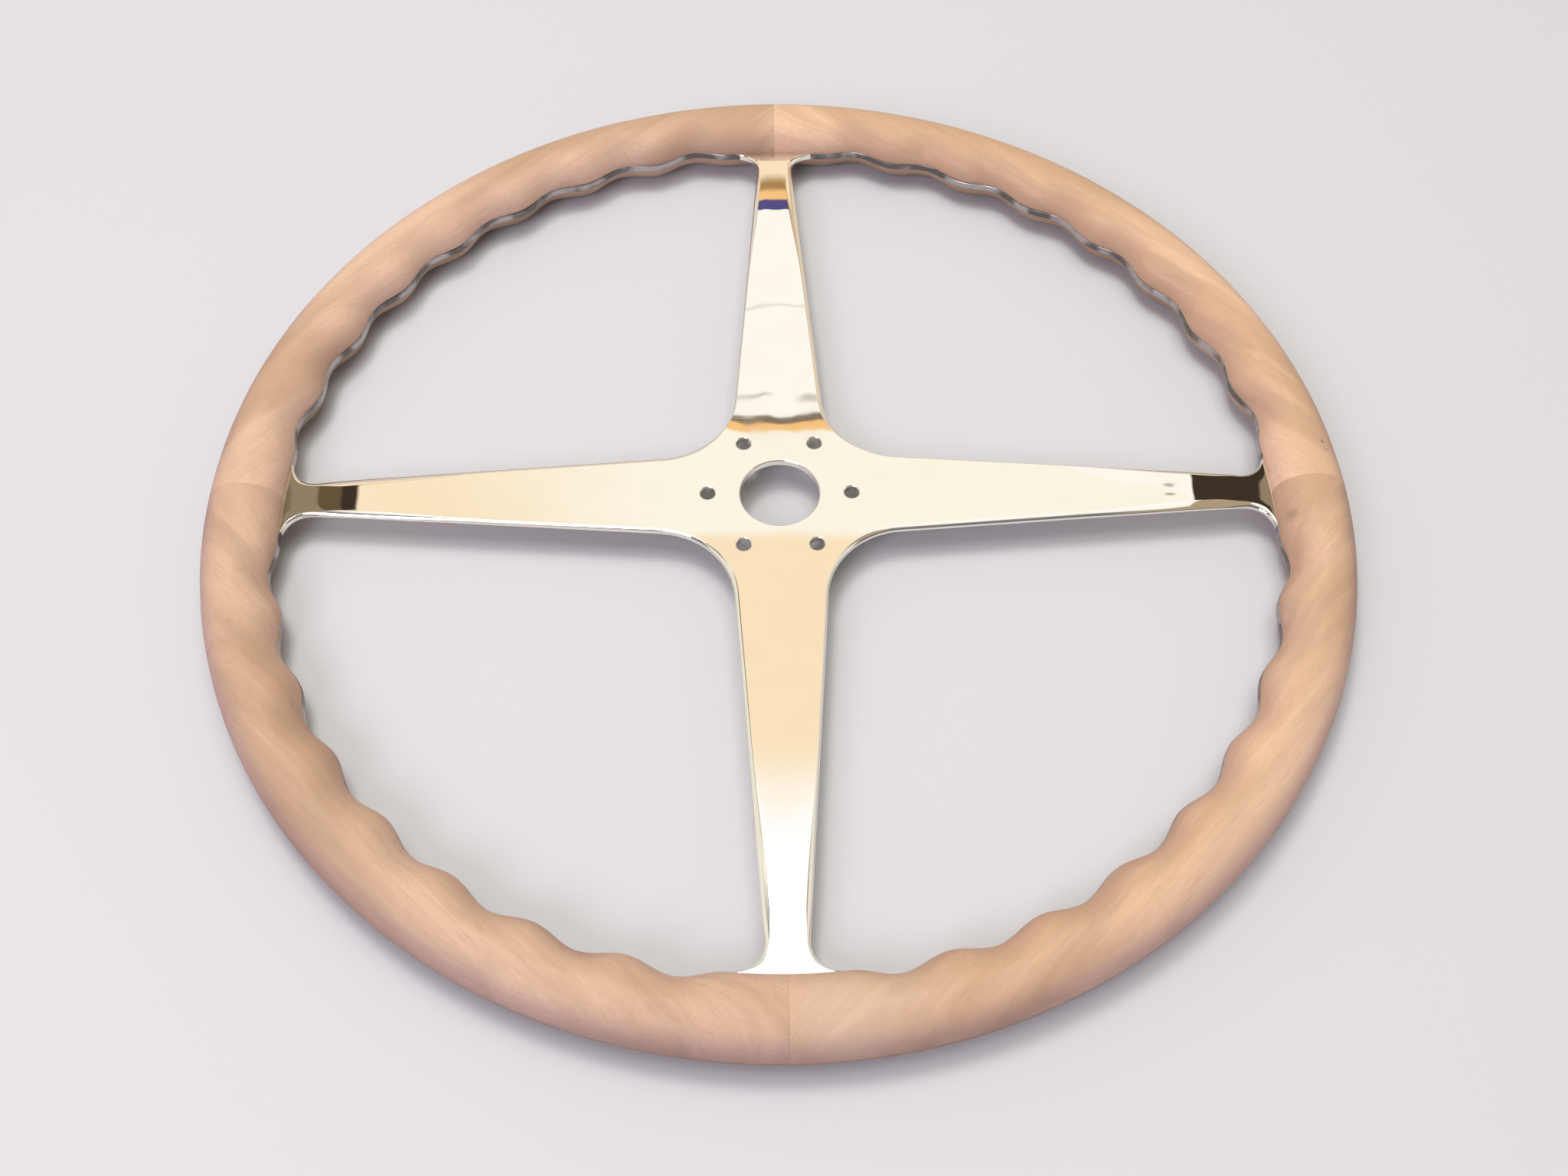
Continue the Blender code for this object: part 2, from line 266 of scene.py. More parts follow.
POLISH_CLEAR = (0.93, 0.89, 0.81)
POLISH_HAZY = (0.92, 0.875, 0.785)
# Sanded ring edge: a plain dull colour, and a dark one that paints shade
SANDED_PLAIN = (0.46, 0.44, 0.44)
SANDED_SHADE = (0.15, 0.14, 0.135)
BRASS_CLEAN = (0.80, 0.56, 0.25)
BRASS_TARNISHED = (0.55, 0.36, 0.15)


def add_marks(tree, place, colour, marks):
    """Paint marks, such as a pin knot: each is ((x, y, z), size, strength, tint)."""
    for centre, size, strength, tint in marks:
        gap = add_node(tree, "ShaderNodeVectorMath", {0: place, 1: centre}, operation="DISTANCE")
        ragged = maths(tree, "MULTIPLY", noise_value(tree, place, 1.6 / size, 2, 0.6), size)
        reach = maths(tree, "ADD", gap.outputs["Value"], ragged)
        colour = mix(tree, rise(tree, reach, 1.3 * size, 0.7 * size, 0.0, strength), colour, tint)
    return colour


def make_walnut(name, seed, tone, chord, marks):
    """Sanded bare walnut, its grain along a quarter's chord, which lies at an angle to X.

    Soft, uneven growth bands follow the rounded grip. Over them lie colour drifts, smoky
    and light streaks, fine fibres and short open pores. The grip's sides are painted
    darker and cooler than its crown, most of all the outer side: painted shade, with a
    painted cool tint of bounced light.
    """
    material, tree, shader = new_material(name)
    place = add_node(tree, "ShaderNodeTexCoord").outputs["Object"]
    turned = add_node(tree, "ShaderNodeMapping", {"Vector": place})
    turned.inputs["Rotation"].default_value = (0, 0, -chord)
    coords = turned.outputs["Vector"]
    offset = (3.1 * seed, 1.7 * seed, 2.3 * seed)

    def grain(along, across, detail=3.0, roughness=0.55, distortion=0.0):
        """Noise stretched along the grain: its cells per metre along and across it."""
        return noise_value(tree, stretched(tree, coords, (along, across, across), offset),
                           1, detail, roughness, distortion)

    drift = grain(5, 22, 3, 0.5)
    pith = Vector((0.02 * math.sin(seed * 2.1), PITH_DISTANCE + PITH_WANDER * math.cos(seed), 0.05))
    shifted = add_node(tree, "ShaderNodeVectorMath", {0: coords, 1: pith}, operation="ADD")
    parts = add_node(tree, "ShaderNodeSeparateXYZ", {0: shifted.outputs[0]}).outputs
    across = maths(tree, "POWER", parts["Y"], 2.0)
    depth = maths(tree, "POWER", parts["Z"], 2.0)
    radius = maths(tree, "SQRT", maths(tree, "ADD", across, depth))
    lean = maths(tree, "MULTIPLY", parts["X"], GRAIN_LEAN)
    warp = maths(tree, "MULTIPLY", drift, BAND_WARP)
    radius = maths(tree, "ADD", maths(tree, "ADD", radius, lean), warp)
    along_bands = maths(tree, "MULTIPLY", parts["X"], BANDS_ALONG)
    across_bands = maths(tree, "MULTIPLY", radius, BANDS_ACROSS)
    band_place = add_node(tree, "ShaderNodeCombineXYZ", {0: along_bands, 1: across_bands})
    bands = noise_value(tree, band_place.outputs[0], 1, 3, 0.62)

    smoke = grain(9, 46, 3, 0.6, 0.6)
    streak = grain(6, 150, 2, 0.5)
    fibre = grain(28, 900, 3, 0.6)
    fine = grain(160, 3400, 2, 0.6)
    pores = rise(tree, grain(240, 2400, 1, 0.4), 0.60, 0.68)

    colour = mix(tree, rise(tree, drift, 0.40, 0.60), WOOD_LIGHT, WOOD_MIDDLE)
    colour = mix(tree, rise(tree, bands, 0.44, 0.72, 0.0, 0.20), colour, WOOD_DARK)
    colour = mix(tree, rise(tree, smoke, 0.54, 0.78, 0.0, 0.34), colour, WOOD_SMOKE)
    colour = mix(tree, rise(tree, streak, 0.58, 0.76, 0.0, 0.20), colour, WOOD_STREAK)
    colour = mix(tree, rise(tree, fibre, 0.36, 0.70, 0.0, 0.11), colour, WOOD_DARK)
    colour = mix(tree, maths(tree, "MULTIPLY", pores, 0.16), colour, WOOD_DARK)
    colour = mix(tree, 1.0, colour, tone, "MULTIPLY")

    # Painted shade: the sides are made darker and cooler than the crown, the outer side most, with
    # a painted cool tint of bounced light
    level = add_node(tree, "ShaderNodeSeparateXYZ", {0: place}).outputs["Z"]
    off_plane = maths(tree, "ABSOLUTE", maths(tree, "SUBTRACT", level, RING_PLANE))
    side = rise(tree, off_plane, 0.98 * HALF_HEIGHT, 0.45 * HALF_HEIGHT)
    flat = add_node(tree, "ShaderNodeVectorMath", {0: place, 1: (1, 1, 0)}, operation="MULTIPLY")
    reach = add_node(tree, "ShaderNodeVectorMath", {0: flat.outputs[0]}, operation="LENGTH")
    outer = rise(tree, reach.outputs["Value"], GRIP_RADIUS, GRIP_RADIUS + 0.5 * GRIP_HALF_WIDTH)
    colour = mix(tree, side, colour, mix(tree, outer, INNER_SIDE_SHADE, OUTER_SIDE_SHADE), "MULTIPLY")
    colour = add_marks(tree, place, colour, marks)
    tree.links.new(colour, shader.inputs["Base Color"])

    tree.links.new(rise(tree, fibre, 0.3, 0.7, 0.52, 0.66), shader.inputs["Roughness"])
    relief = maths(tree, "SUBTRACT", maths(tree, "MULTIPLY", fine, 0.5), pores)
    bump = add_node(tree, "ShaderNodeBump", {"Strength": 0.15, "Distance": 0.05 * MM,
                                             "Height": relief})
    tree.links.new(bump.outputs["Normal"], shader.inputs["Normal"])
    shader.inputs["Specular IOR Level"].default_value = WOOD_SPECULAR
    return material


def make_polished_metal():
    """Mirror-polished plate with the faint haze and hairlines that a buffing wheel leaves."""
    material, tree, shader = new_material("mirror_polished_metal")
    coords = add_node(tree, "ShaderNodeTexCoord").outputs["Object"]
    haze = noise_value(tree, coords, 60, 3, 0.6)
    hairs = noise_value(tree, stretched(tree, coords, (40, 2600, 400)), 1, 2, 0.5)
    colour = mix(tree, rise(tree, haze, 0.35, 0.7), POLISH_CLEAR, POLISH_HAZY)
    tree.links.new(colour, shader.inputs["Base Color"])
    shader.inputs["Metallic"].default_value = 1.0
    worn = maths(tree, "ADD", rise(tree, haze, 0.4, 0.75, 0.012, 0.032),
                 rise(tree, hairs, 0.62, 0.8, 0.0, 0.02))
    tree.links.new(worn, shader.inputs["Roughness"])
    return material


def make_satin_metal():
    """The same metal sanded dull, with fine scratches along the ring. Its colour is painted
    dark in patches along the ring: painted shade where the edge lies between the wood layers.
    """
    material, tree, shader = new_material("sanded_metal_edge_painted_shade")
    coords = add_node(tree, "ShaderNodeTexCoord").outputs["Object"]
    painted_shade_patches = noise_value(tree, coords, 75, 2, 0.5)
    scratch = noise_value(tree, stretched(tree, coords, (400, 400, 9000)), 1, 2, 0.5)
    # Painted shade: dark patches along the ring's edge between the wood layers
    colour = mix(tree, rise(tree, painted_shade_patches, 0.40, 0.58), SANDED_PLAIN, SANDED_SHADE)
    tree.links.new(colour, shader.inputs["Base Color"])
    shader.inputs["Metallic"].default_value = 1.0
    tree.links.new(rise(tree, scratch, 0.35, 0.7, 0.26, 0.42), shader.inputs["Roughness"])
    return material


def make_brass():
    """Brass that has dulled a little, with browner tarnish in spots."""
    material, tree, shader = new_material("dulled_brass")
    coords = add_node(tree, "ShaderNodeTexCoord").outputs["Object"]
    tarnish = noise_value(tree, coords, 500, 4, 0.6)
    scratch = noise_value(tree, stretched(tree, coords, (300, 5200, 300)), 1, 2, 0.5)
    colour = mix(tree, rise(tree, tarnish, 0.4, 0.7), BRASS_CLEAN, BRASS_TARNISHED)
    tree.links.new(colour, shader.inputs["Base Color"])
    shader.inputs["Metallic"].default_value = 1.0
    tree.links.new(rise(tree, tarnish, 0.35, 0.7, 0.24, 0.42), shader.inputs["Roughness"])
    bump = add_node(tree, "ShaderNodeBump", {"Strength": 0.2, "Distance": 0.02 * MM,
                                             "Height": scratch})
    tree.links.new(bump.outputs["Normal"], shader.inputs["Normal"])
    return material


# ---------------------------------------------------------------- mesh helpers

def add_piece(name, mesh, material):
    """Make an object of a mesh and a material."""
    mesh.materials.clear()
    mesh.materials.append(material)
    piece = bpy.data.objects.new(name, mesh)
    bpy.context.scene.collection.objects.link(piece)
    return piece


def apply_modifiers(piece):
    """Replace a piece's mesh by what its modifiers make of it."""
    bpy.context.view_layer.update()
    evaluated = piece.evaluated_get(bpy.context.evaluated_depsgraph_get())
    mesh = bpy.data.meshes.new_from_object(evaluated)
    piece.modifiers.clear()
    piece.data = mesh


def cut(piece, cutter):
    """Cut one object's shape out of another for good."""
    modifier = piece.modifiers.new("cut", "BOOLEAN")
    modifier.operation = "DIFFERENCE"
    modifier.solver = "EXACT"
    modifier.object = cutter
    apply_modifiers(piece)


def smooth(mesh, angle):
    """Shade smooth, with edges over an angle kept crisp."""
    mesh.shade_smooth()
    mesh.set_sharp_from_angle(angle=math.radians(angle))


def finish_piece(piece, slot, *nodes):
    """Tie a piece to the wheel's body, and hide the CAD nodes it stands for. The material slot it
    is given is not used.
    """
    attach(piece, "root")
    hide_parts(*nodes)


def polar(radius, angle):
    """Return a point in the plane."""
    return Vector((radius * math.cos(angle), radius * math.sin(angle)))


# ---------------------------------------------------------------- rim

def hollow_depth(angle):
    """Depth of the finger hollows at an angle. Beside a spoke there are none."""
    local = angle % QUARTER
    if not PLAIN_ANGLE < local < QUARTER - PLAIN_ANGLE:
        return 0.0
    return HOLLOW_DEPTH * math.sin(math.pi * (local - PLAIN_ANGLE) / HOLLOW_PITCH) ** 2


def hollow_share(direction):
    """Share of the hollows' depth in a direction from the grip's middle: none over the crown."""
    inward = -direction.x / direction.length
    return max(inward, 0.0) ** HOLLOW_WRAP


def half_section(seat):
    """Closed outline of one wood layer's section: (radius, height over the ring plane).

    The half oval, eased where it meets the other layer and the metal, and the rebate
    that takes the metal ring, whose floor is at the seat's height.
    """
    rebate_radius = RING_OUTER_RADIUS + REBATE_GAP
    start = math.asin((LAYER_LIP + LIP_EASE) / HALF_HEIGHT)
    end = math.pi - math.asin((seat + RING_EASE) / HALF_HEIGHT)
    bulge = EASE_BULGE * LIP_EASE
    points = [(GRIP_RADIUS + GRIP_HALF_WIDTH - LIP_EASE, LAYER_LIP),
              (GRIP_RADIUS + GRIP_HALF_WIDTH - bulge, LAYER_LIP + bulge)]
    for i in range(SECTION_STEPS + 1):
        angle = start + (end - start) * i / SECTION_STEPS
        points.append((GRIP_RADIUS + GRIP_HALF_WIDTH * math.cos(angle),
                       HALF_HEIGHT * math.sin(angle)))
    inner = GRIP_RADIUS - GRIP_HALF_WIDTH * math.sqrt(1 - (seat / HALF_HEIGHT) ** 2)
    points.append((inner + EASE_BULGE * RING_EASE, seat + EASE_BULGE * RING_EASE))
    points.append((inner + RING_EASE, seat))
    points.append((rebate_radius, seat))
    points.append((rebate_radius, LAYER_LIP))
    return points


def hand_shaping(point):
    """Small unevenness of a surface shaped by hand: how far it lies under the true form."""
    value = noise.noise(point / HAND_SHAPING_SIZE)
    return HAND_SHAPING * (value * 0.5 + 0.5)


def make_rim_segment(name, node, start, side, material, cutter):
    """Make one wooden quarter of the front (side 1) or back (side -1) layer."""
    seat_height = PLATE_THICKNESS / 2 + SEAT_GAP
    section = half_section(seat_height)
    trim = JOINT_GAP / 2 / INNER_RADIUS
    ease = JOINT_EASE / GRIP_RADIUS
    first = start + trim
    last = start + QUARTER - trim
    stations = [first] + list(np.linspace(first + ease, last - ease, SEGMENT_STEPS)) + [last]
    shape = bmesh.new()
    loops = []
    for station, angle in enumerate(stations):
        at_end = station in (0, len(stations) - 1)
        depth = hollow_depth(angle)
        loop = []
        for radius, height in section:
            on_surface = not (radius > RING_OUTER_RADIUS and height < LIP_ZONE)
            direction = Vector((radius - GRIP_RADIUS, height))
            under = depth * hollow_share(direction)
            if on_surface and direction.length > HAND_SHAPING_START:
                under += hand_shaping(Vector((*polar(radius, angle), side * height)))
                under += JOINT_EASE if at_end else 0.0
            if height <= seat_height:
                direction.x -= math.copysign(under, direction.x)
            else:
                direction -= direction.normalized() * under
            place = polar(GRIP_RADIUS + direction.x, angle)
            loop.append(shape.verts.new((*place, RING_PLANE + side * direction.y)))
        loops.append(loop)
    count = len(section)
    for before, after in zip(loops, loops[1:]):
        for i in range(count):
            j = (i + 1) % count
            shape.faces.new((before[i], before[j], after[j], after[i]))
    shape.faces.new(loops[0])
    shape.faces.new(loops[-1])
    bmesh.ops.recalc_face_normals(shape, faces=shape.faces)
    mesh = bpy.data.meshes.new(name)
    shape.to_mesh(mesh)
    shape.free()
    piece = add_piece(name, mesh, material)
    cut(piece, cutter)
    smooth(piece.data, WOOD_CREASE)
    finish_piece(piece, "walnut", node)


# ---------------------------------------------------------------- spider

def arc(centre, radius, start, end):
    """Points along an arc, both ends included."""
    steps = max(6, round(abs(end - start) * radius / OUTLINE_SPACING))
    return [centre + polar(radius, start + (end - start) * i / steps) for i in range(steps + 1)]


def circle(centre, radius, spacing=OUTLINE_SPACING):
    """Points round a circle, counter-clockwise."""
    steps = max(24, round(2 * math.pi * radius / spacing))
    return [centre + polar(radius, 2 * math.pi * i / steps) for i in range(steps)]


def window_outline():
    """Outline of the window between the spokes at +X and +Y, counter-clockwise."""
    run = SPOKE_TIP - SPOKE_ROOT
    taper = -math.atan2(run.y, run.x)
    along = Vector((math.cos(taper), -math.sin(taper)))
    away = Vector((math.sin(taper), math.cos(taper)))
    offset = away.dot(SPOKE_ROOT)
    hub_reach = (offset + HUB_FILLET_RADIUS) / (away.x + away.y)
    hub_centre = Vector((hub_reach, hub_reach))
    hub_fillet = arc(hub_centre, HUB_FILLET_RADIUS, math.pi * 1.25, math.pi * 1.5 - taper)
    height = offset + RIM_FILLET_RADIUS
    rim_reach = INNER_RADIUS - RIM_FILLET_RADIUS
    rim_centre = away * height + along * math.sqrt(rim_reach ** 2 - height ** 2)
    rim_angle = math.atan2(rim_centre.y, rim_centre.x)
    rim_fillet = arc(rim_centre, RIM_FILLET_RADIUS, -math.pi / 2 - taper, rim_angle)
    side_start = hub_fillet[-1]
    side = rim_fillet[0] - side_start
    steps = round(side.length / OUTLINE_SPACING)
    side_points = [side_start + side * (i / steps) for i in range(1, steps)]
    steps = round((QUARTER / 2 - rim_angle) * INNER_RADIUS / OUTLINE_SPACING)
    waves = []
    for i in range(1, steps):
        angle = rim_angle + (QUARTER / 2 - rim_angle) * i / steps
        waves.append(polar(INNER_RADIUS + hollow_depth(angle), angle))
    half = hub_fillet[1:] + side_points + rim_fillet + waves
    mirrored = [Vector((p.y, p.x)) for p in reversed(half)]
    middle = polar(INNER_RADIUS + hollow_depth(QUARTER / 2), QUARTER / 2)
    return [hub_fillet[0]] + half + [middle] + mirrored


def ease(value, start, end):
    """Smooth step from 0 at start to 1 at end."""
    share = min(max((value - start) / (end - start), 0.0), 1.0)
    return share * share * (3 - 2 * share)


def off_centre(x, y):
    """How far a place lies from a spoke's middle line, as a share of the half width there."""
    along = max(abs(x), abs(y))
    across = min(abs(x), abs(y))
    run = SPOKE_TIP - SPOKE_ROOT
    half_width = SPOKE_ROOT.y + (along - SPOKE_ROOT.x) * run.y / run.x
    return min(across / max(half_width, MM), OFF_CENTRE_LIMIT)


def spider_outlines():
    """The plate's edge, counter-clockwise, and its openings, clockwise.

    Each comes with a function that gives the rounding's width and height at a point.
    """
    axis = Vector((0, 0))
    ring = (RING_EDGE, RING_EDGE)
    hole = (HOLE_EDGE, HOLE_EDGE)
    screw_hole = (SCREW_HOLE_EDGE, SCREW_HOLE_EDGE)

    def window_edge(point):
        """Wider beside the shoulders, and wider on each spoke's clockwise edge."""
        radius = point.length
        at_shoulder = ease(radius, *EDGE_WIDENING) * (1 - ease(radius, *EDGE_NARROWING))
        clockwise = ease(math.atan2(point.y, point.x) % QUARTER, QUARTER / 3, QUARTER * 2 / 3)
        narrow, wide = (other + (own - other) * clockwise
                        for other, own in zip(OTHER_EDGE_WIDTHS, CLOCKWISE_EDGE_WIDTHS))
        width = narrow + (wide - narrow) * at_shoulder
        fade = ease(radius, INNER_RADIUS - EDGE_FADE, INNER_RADIUS)
        return (width + (RING_EDGE - width) * fade,
                EDGE_HEIGHT + (RING_EDGE - EDGE_HEIGHT) * fade)

    outlines = [(circle(axis, RING_OUTER_RADIUS, RING_SPACING), lambda point: ring)]
    window = window_outline()
    for quarter in range(4):
        turn = Matrix.Rotation(QUARTER * quarter, 2)
        outlines.append(([turn @ p for p in reversed(window)], window_edge))
    outlines.append((circle(axis, CENTRE_HOLE_RADIUS)[::-1], lambda point: hole))
    for i in range(BOLT_COUNT):
        centre = polar(BOLT_CIRCLE_RADIUS, 2 * math.pi * i / BOLT_COUNT)
        bolt_hole = circle(centre, BOLT_HOLE_RADIUS, BOLT_HOLE_SPACING)
        outlines.append((bolt_hole[::-1], lambda point: hole))
    for angle in screw_angles():
        centre = polar(GRIP_RADIUS, angle)
        radius = SCREW_SHANK_RADIUS + SCREW_FIT
        outlines.append((circle(centre, radius)[::-1], lambda point: screw_hole))
    return outlines


def shoulder_height(x, y):
    """Height of the plate's middle over the ring plane.

    The hub stands proud; the spokes' ends dip ever steeper till they vanish under the wood.
    The dip starts a little nearer the hub along a spoke's middle.
    """
    radius = math.hypot(x, y)
    bow = SHOULDER_BOW * off_centre(x, y) ** 2
    start = SHOULDER_START + SIDE_SHOULDER_SHIFT * (x / max(radius, MM)) ** 2 + bow
    share = min(max((radius - start) / (SHOULDER_END - start), 0.0), 1.0)
    return HUB_RISE * (1 - share ** (SHOULDER_POWER + 1))


def crown_drop(x, y):
    """How far polishing has lowered a spoke's face beside its edges. The hub stays flat."""
    along = max(abs(x), abs(y))
    share = ease(along, CROWN_START, CROWN_FULL) * (1 - ease(along, SPOKE_TIP.x, INNER_RADIUS))
    return CROWN * share * off_centre(x, y) ** CROWN_POWER


def plate_height(x, y):
    """Height of the plate's middle at a place, with the slight waves left by polishing."""
    place = Vector((x, y, 0.0)) / POLISH_WAVE_SIZE
    wave = POLISH_WAVE * (1 - ease(math.hypot(x, y), SPOKE_TIP.x, INNER_RADIUS))
    return shoulder_height(x, y) - crown_drop(x, y) + wave * noise.noise(place)


def outward_normals(points):
    """Unit normals of a closed outline, to the right of its direction."""
    normals = []
    count = len(points)
    for i in range(count):
        tangent = points[(i + 1) % count] - points[i - 1]
        normals.append(Vector((tangent.y, -tangent.x)).normalized())
    return normals


def inside_plate(points, loops):
    """Which points lie in the plate's flat face: even-odd rule over all its loops."""
    x = points[:, 0][:, None]
    y = points[:, 1][:, None]
    inside = np.zeros(len(points), bool)
    for loop in loops:
        a = np.array(loop)
        b = np.roll(a, -1, axis=0)
        crosses = (a[:, 1] > y) != (b[:, 1] > y)
        with np.errstate(divide="ignore", invalid="ignore"):
            at = (b[:, 0] - a[:, 0]) * (y - a[:, 1]) / (b[:, 1] - a[:, 1]) + a[:, 0]
        inside ^= (np.count_nonzero(crosses & (x < at), axis=1) % 2).astype(bool)
    return inside


def flat_face(loops):
    """Triangles that fill the plate's flat face, and the extra points they use.

    The loops' own points come first, in order; points inside follow.
    """
    edge_points = [p for loop in loops for p in loop]
    tree = KDTree(len(edge_points))
    for i, p in enumerate(edge_points):
        tree.insert((p[0], p[1], 0), i)
    tree.balance()
    steps = int(INNER_RADIUS / FACE_SPACING)
    grid = []
    for i in range(-steps, steps + 1):
        for j in range(-steps, steps + 1):
            x = (i + 0.5 * (j % 2)) * FACE_SPACING
            y = j * FACE_SPACING
            if min(abs(x), abs(y)) < FACE_REACH and math.hypot(x, y) < INNER_RADIUS:
                grid.append((x, y))
    grid = np.array(grid)
    grid = grid[inside_plate(grid, loops)]
    kept = [g for g in grid if tree.find((g[0], g[1], 0))[2] > FACE_CLEARANCE]
    points = [Vector(p) for p in edge_points] + [Vector(g) for g in kept]
    edges = []
    start = 0
    for loop in loops:
        count = len(loop)
        edges += [(start + i, start + (i + 1) % count) for i in range(count)]
        start += count
    filled = delaunay_2d_cdt(points, edges, [], 1, 1e-9, True)
    old_places = {}
    for new, olds in enumerate(filled[3]):
        if olds:
            old_places[new] = olds[0]
    triangles = np.array([[old_places[v] for v in face] for face in filled[2]])
    places = np.array([tuple(p) for p in points])
    centres = places[triangles].mean(axis=1)
    triangles = triangles[inside_plate(centres, loops)]
    return kept, triangles


def make_spider(polished, satin):
    """Make the one-piece plate, its edges rounded and its normals worked out exactly.

    The ring's edge between the wood layers was sanded with the wood, so it is satin. Its dark
    colour there is painted shade.
    """
    places = []
    normals = []
    faces = []
    satin_faces = []

    def add_point(x, y, level, nx, ny, nz):
        """Add a point of the flat plate, lifted and tilted as the plate bends there."""
        step = SLOPE_STEP
        slope_x = (plate_height(x + step, y) - plate_height(x - step, y)) / (2 * step)
        slope_y = (plate_height(x, y + step) - plate_height(x, y - step)) / (2 * step)
        places.append((x, y, RING_PLANE + plate_height(x, y) + level))
        normals.append(Vector((nx - nz * slope_x, ny - nz * slope_y, nz)).normalized())
        return len(places) - 1

    half = PLATE_THICKNESS / 2
    top_loops = []
    top_indices = []
    bottom_indices = []
    for points, edge_size in spider_outlines():
        outward = outward_normals(points)
        rings = []
        for side in (1, -1):
            angles = [QUARTER * (1 - i / EDGE_STEPS) for i in range(EDGE_STEPS + 1)]
            if side < 0:
                angles.reverse()
            for angle in angles:
                ring = []
                for point, normal in zip(points, outward):
                    width, height = edge_size(point)
                    out = math.cos(angle) ** (2 / EDGE_ROUNDNESS)
                    up = math.sin(angle) ** (2 / EDGE_ROUNDNESS)
                    level = side * (half - height + height * up)
                    lean = Vector((out ** (EDGE_ROUNDNESS - 1) / width,
                                   up ** (EDGE_ROUNDNESS - 1) / height)).normalized()
                    place = point - normal * width * (1 - out)
                    ring.append(add_point(place.x, place.y, level, normal.x * lean.x,
                                          normal.y * lean.x, side * lean.y))
                rings.append(ring)
        top_loops.append([places[i][:2] for i in rings[0]])
        top_indices += rings[0]
        bottom_indices += rings[-1]
        count = len(points)
        for upper, lower in zip(rings, rings[1:]):
            for i in range(count):
                j = (i + 1) % count
                if SATIN_START < points[i].length < GRIP_RADIUS:
                    satin_faces.append(len(faces))
                faces.append((upper[i], lower[i], lower[j], upper[j]))
    kept, triangles = flat_face(top_loops)
    for x, y in kept:
        top_indices.append(add_point(x, y, half, 0, 0, 1))
        bottom_indices.append(add_point(x, y, -half, 0, 0, -1))
    for a, b, c in triangles:
        faces.append((top_indices[a], top_indices[b], top_indices[c]))
        faces.append((bottom_indices[a], bottom_indices[c], bottom_indices[b]))
    mesh = bpy.data.meshes.new("spider_plate")
    mesh.from_pydata(places, [], faces)
    mesh.update()
    mesh.shade_smooth()
    mesh.normals_split_custom_set_from_vertices(normals)
    piece = add_piece("spider_plate", mesh, polished)
    mesh.materials.append(satin)
    for i in satin_faces:
        mesh.polygons[i].material_index = 1
    finish_piece(piece, "polished_metal", "spider")


# ---------------------------------------------------------------- screws

def screw_angles():
    """Angles of the screws round the rim."""
    return [2 * math.pi * (i + 0.5) / SCREW_COUNT for i in range(SCREW_COUNT)]


def turned_mesh(name, profile):
    """Turn a profile of (radius, height), from the axis round to the axis, into a solid."""
    shape = bmesh.new()
    rings = []
    for radius, height in profile:
        if radius < 1e-7:
            rings.append([shape.verts.new((0, 0, height))])
        else:
            rings.append([shape.verts.new((*polar(radius, 2 * math.pi * i / SCREW_SIDES), height))
                          for i in range(SCREW_SIDES)])
    for low, high in zip(rings, rings[1:]):
        for i in range(SCREW_SIDES):
            j = (i + 1) % SCREW_SIDES
            corners = [low[i % len(low)], low[j % len(low)], high[j % len(high)],
                       high[i % len(high)]]
            shape.faces.new(list(dict.fromkeys(corners)))
    bmesh.ops.recalc_face_normals(shape, faces=shape.faces)
    mesh = bpy.data.meshes.new(name)
    shape.to_mesh(mesh)
    shape.free()
    return mesh


def screw_profile(fit, below, above):
    """Profile of a countersunk, pointed screw, or with a fit, of its blunt hole."""
    head = SCREW_HEAD_RADIUS + fit
    shank = SCREW_SHANK_RADIUS + fit
    cone_start = SCREW_HEAD_PLANE + SCREW_HEAD_RIM
    cone_end = cone_start + SCREW_HEAD_RADIUS - SCREW_SHANK_RADIUS
    shank_end = above if fit else SCREW_TIP - SCREW_POINT
    return [(0, below), (head, below), (head, cone_start), (shank, cone_end),
            (shank, shank_end), (0, above)]


def make_hole_cutter():
    """One object that cuts all the screws' holes."""
    profile = screw_profile(SCREW_FIT, HOLE_START, SCREW_TIP + HOLE_CLEARANCE)
    single = turned_mesh("hole", profile)
    shape = bmesh.new()
    for angle in screw_angles():
        before = set(shape.verts)
        shape.from_mesh(single)
        added = [v for v in shape.verts if v not in before]
        bmesh.ops.translate(shape, verts=added, vec=polar(GRIP_RADIUS, angle).to_3d())
    mesh = bpy.data.meshes.new("screw_holes")
    shape.to_mesh(mesh)
    shape.free()
    cutter = bpy.data.objects.new("screw_holes", mesh)
    bpy.context.scene.collection.objects.link(cutter)
    return cutter


def make_screws(material):
    """Make the slotted screws. They share one mesh, and each slot points its own way."""
    mesh = turned_mesh("rim_screw", screw_profile(0, SCREW_HEAD_PLANE, SCREW_TIP))
    master = add_piece("screw_master", mesh, material)
    bpy.ops.mesh.primitive_cube_add(size=1, location=(0, 0, SCREW_HEAD_PLANE))
    slot = bpy.context.object
    slot.scale = (4 * SCREW_HEAD_RADIUS, SLOT_WIDTH, 2 * SLOT_DEPTH)
    cut(master, slot)
    bpy.data.objects.remove(slot, do_unlink=True)
    bevel = master.modifiers.new("edge", "BEVEL")
    bevel.width = SCREW_EDGE
    bevel.segments = 2
    bevel.limit_method = "ANGLE"
    bevel.angle_limit = math.radians(SCREW_BEVEL_ANGLE)
    apply_modifiers(master)
    smooth(master.data, SCREW_CREASE)
    for i, angle in enumerate(screw_angles()):
        name = f"screw_{i + 1:02d}"
        screw = bpy.data.objects.new(name, master.data)
        bpy.context.scene.collection.objects.link(screw)
        screw.location = (*polar(GRIP_RADIUS, angle), 0)
        screw.rotation_euler.z = SCREW_TURN * i
        finish_piece(screw, "brass", f"rim_screw_{i + 1:02d}")
    bpy.data.objects.remove(master, do_unlink=True)


# ---------------------------------------------------------------- stage

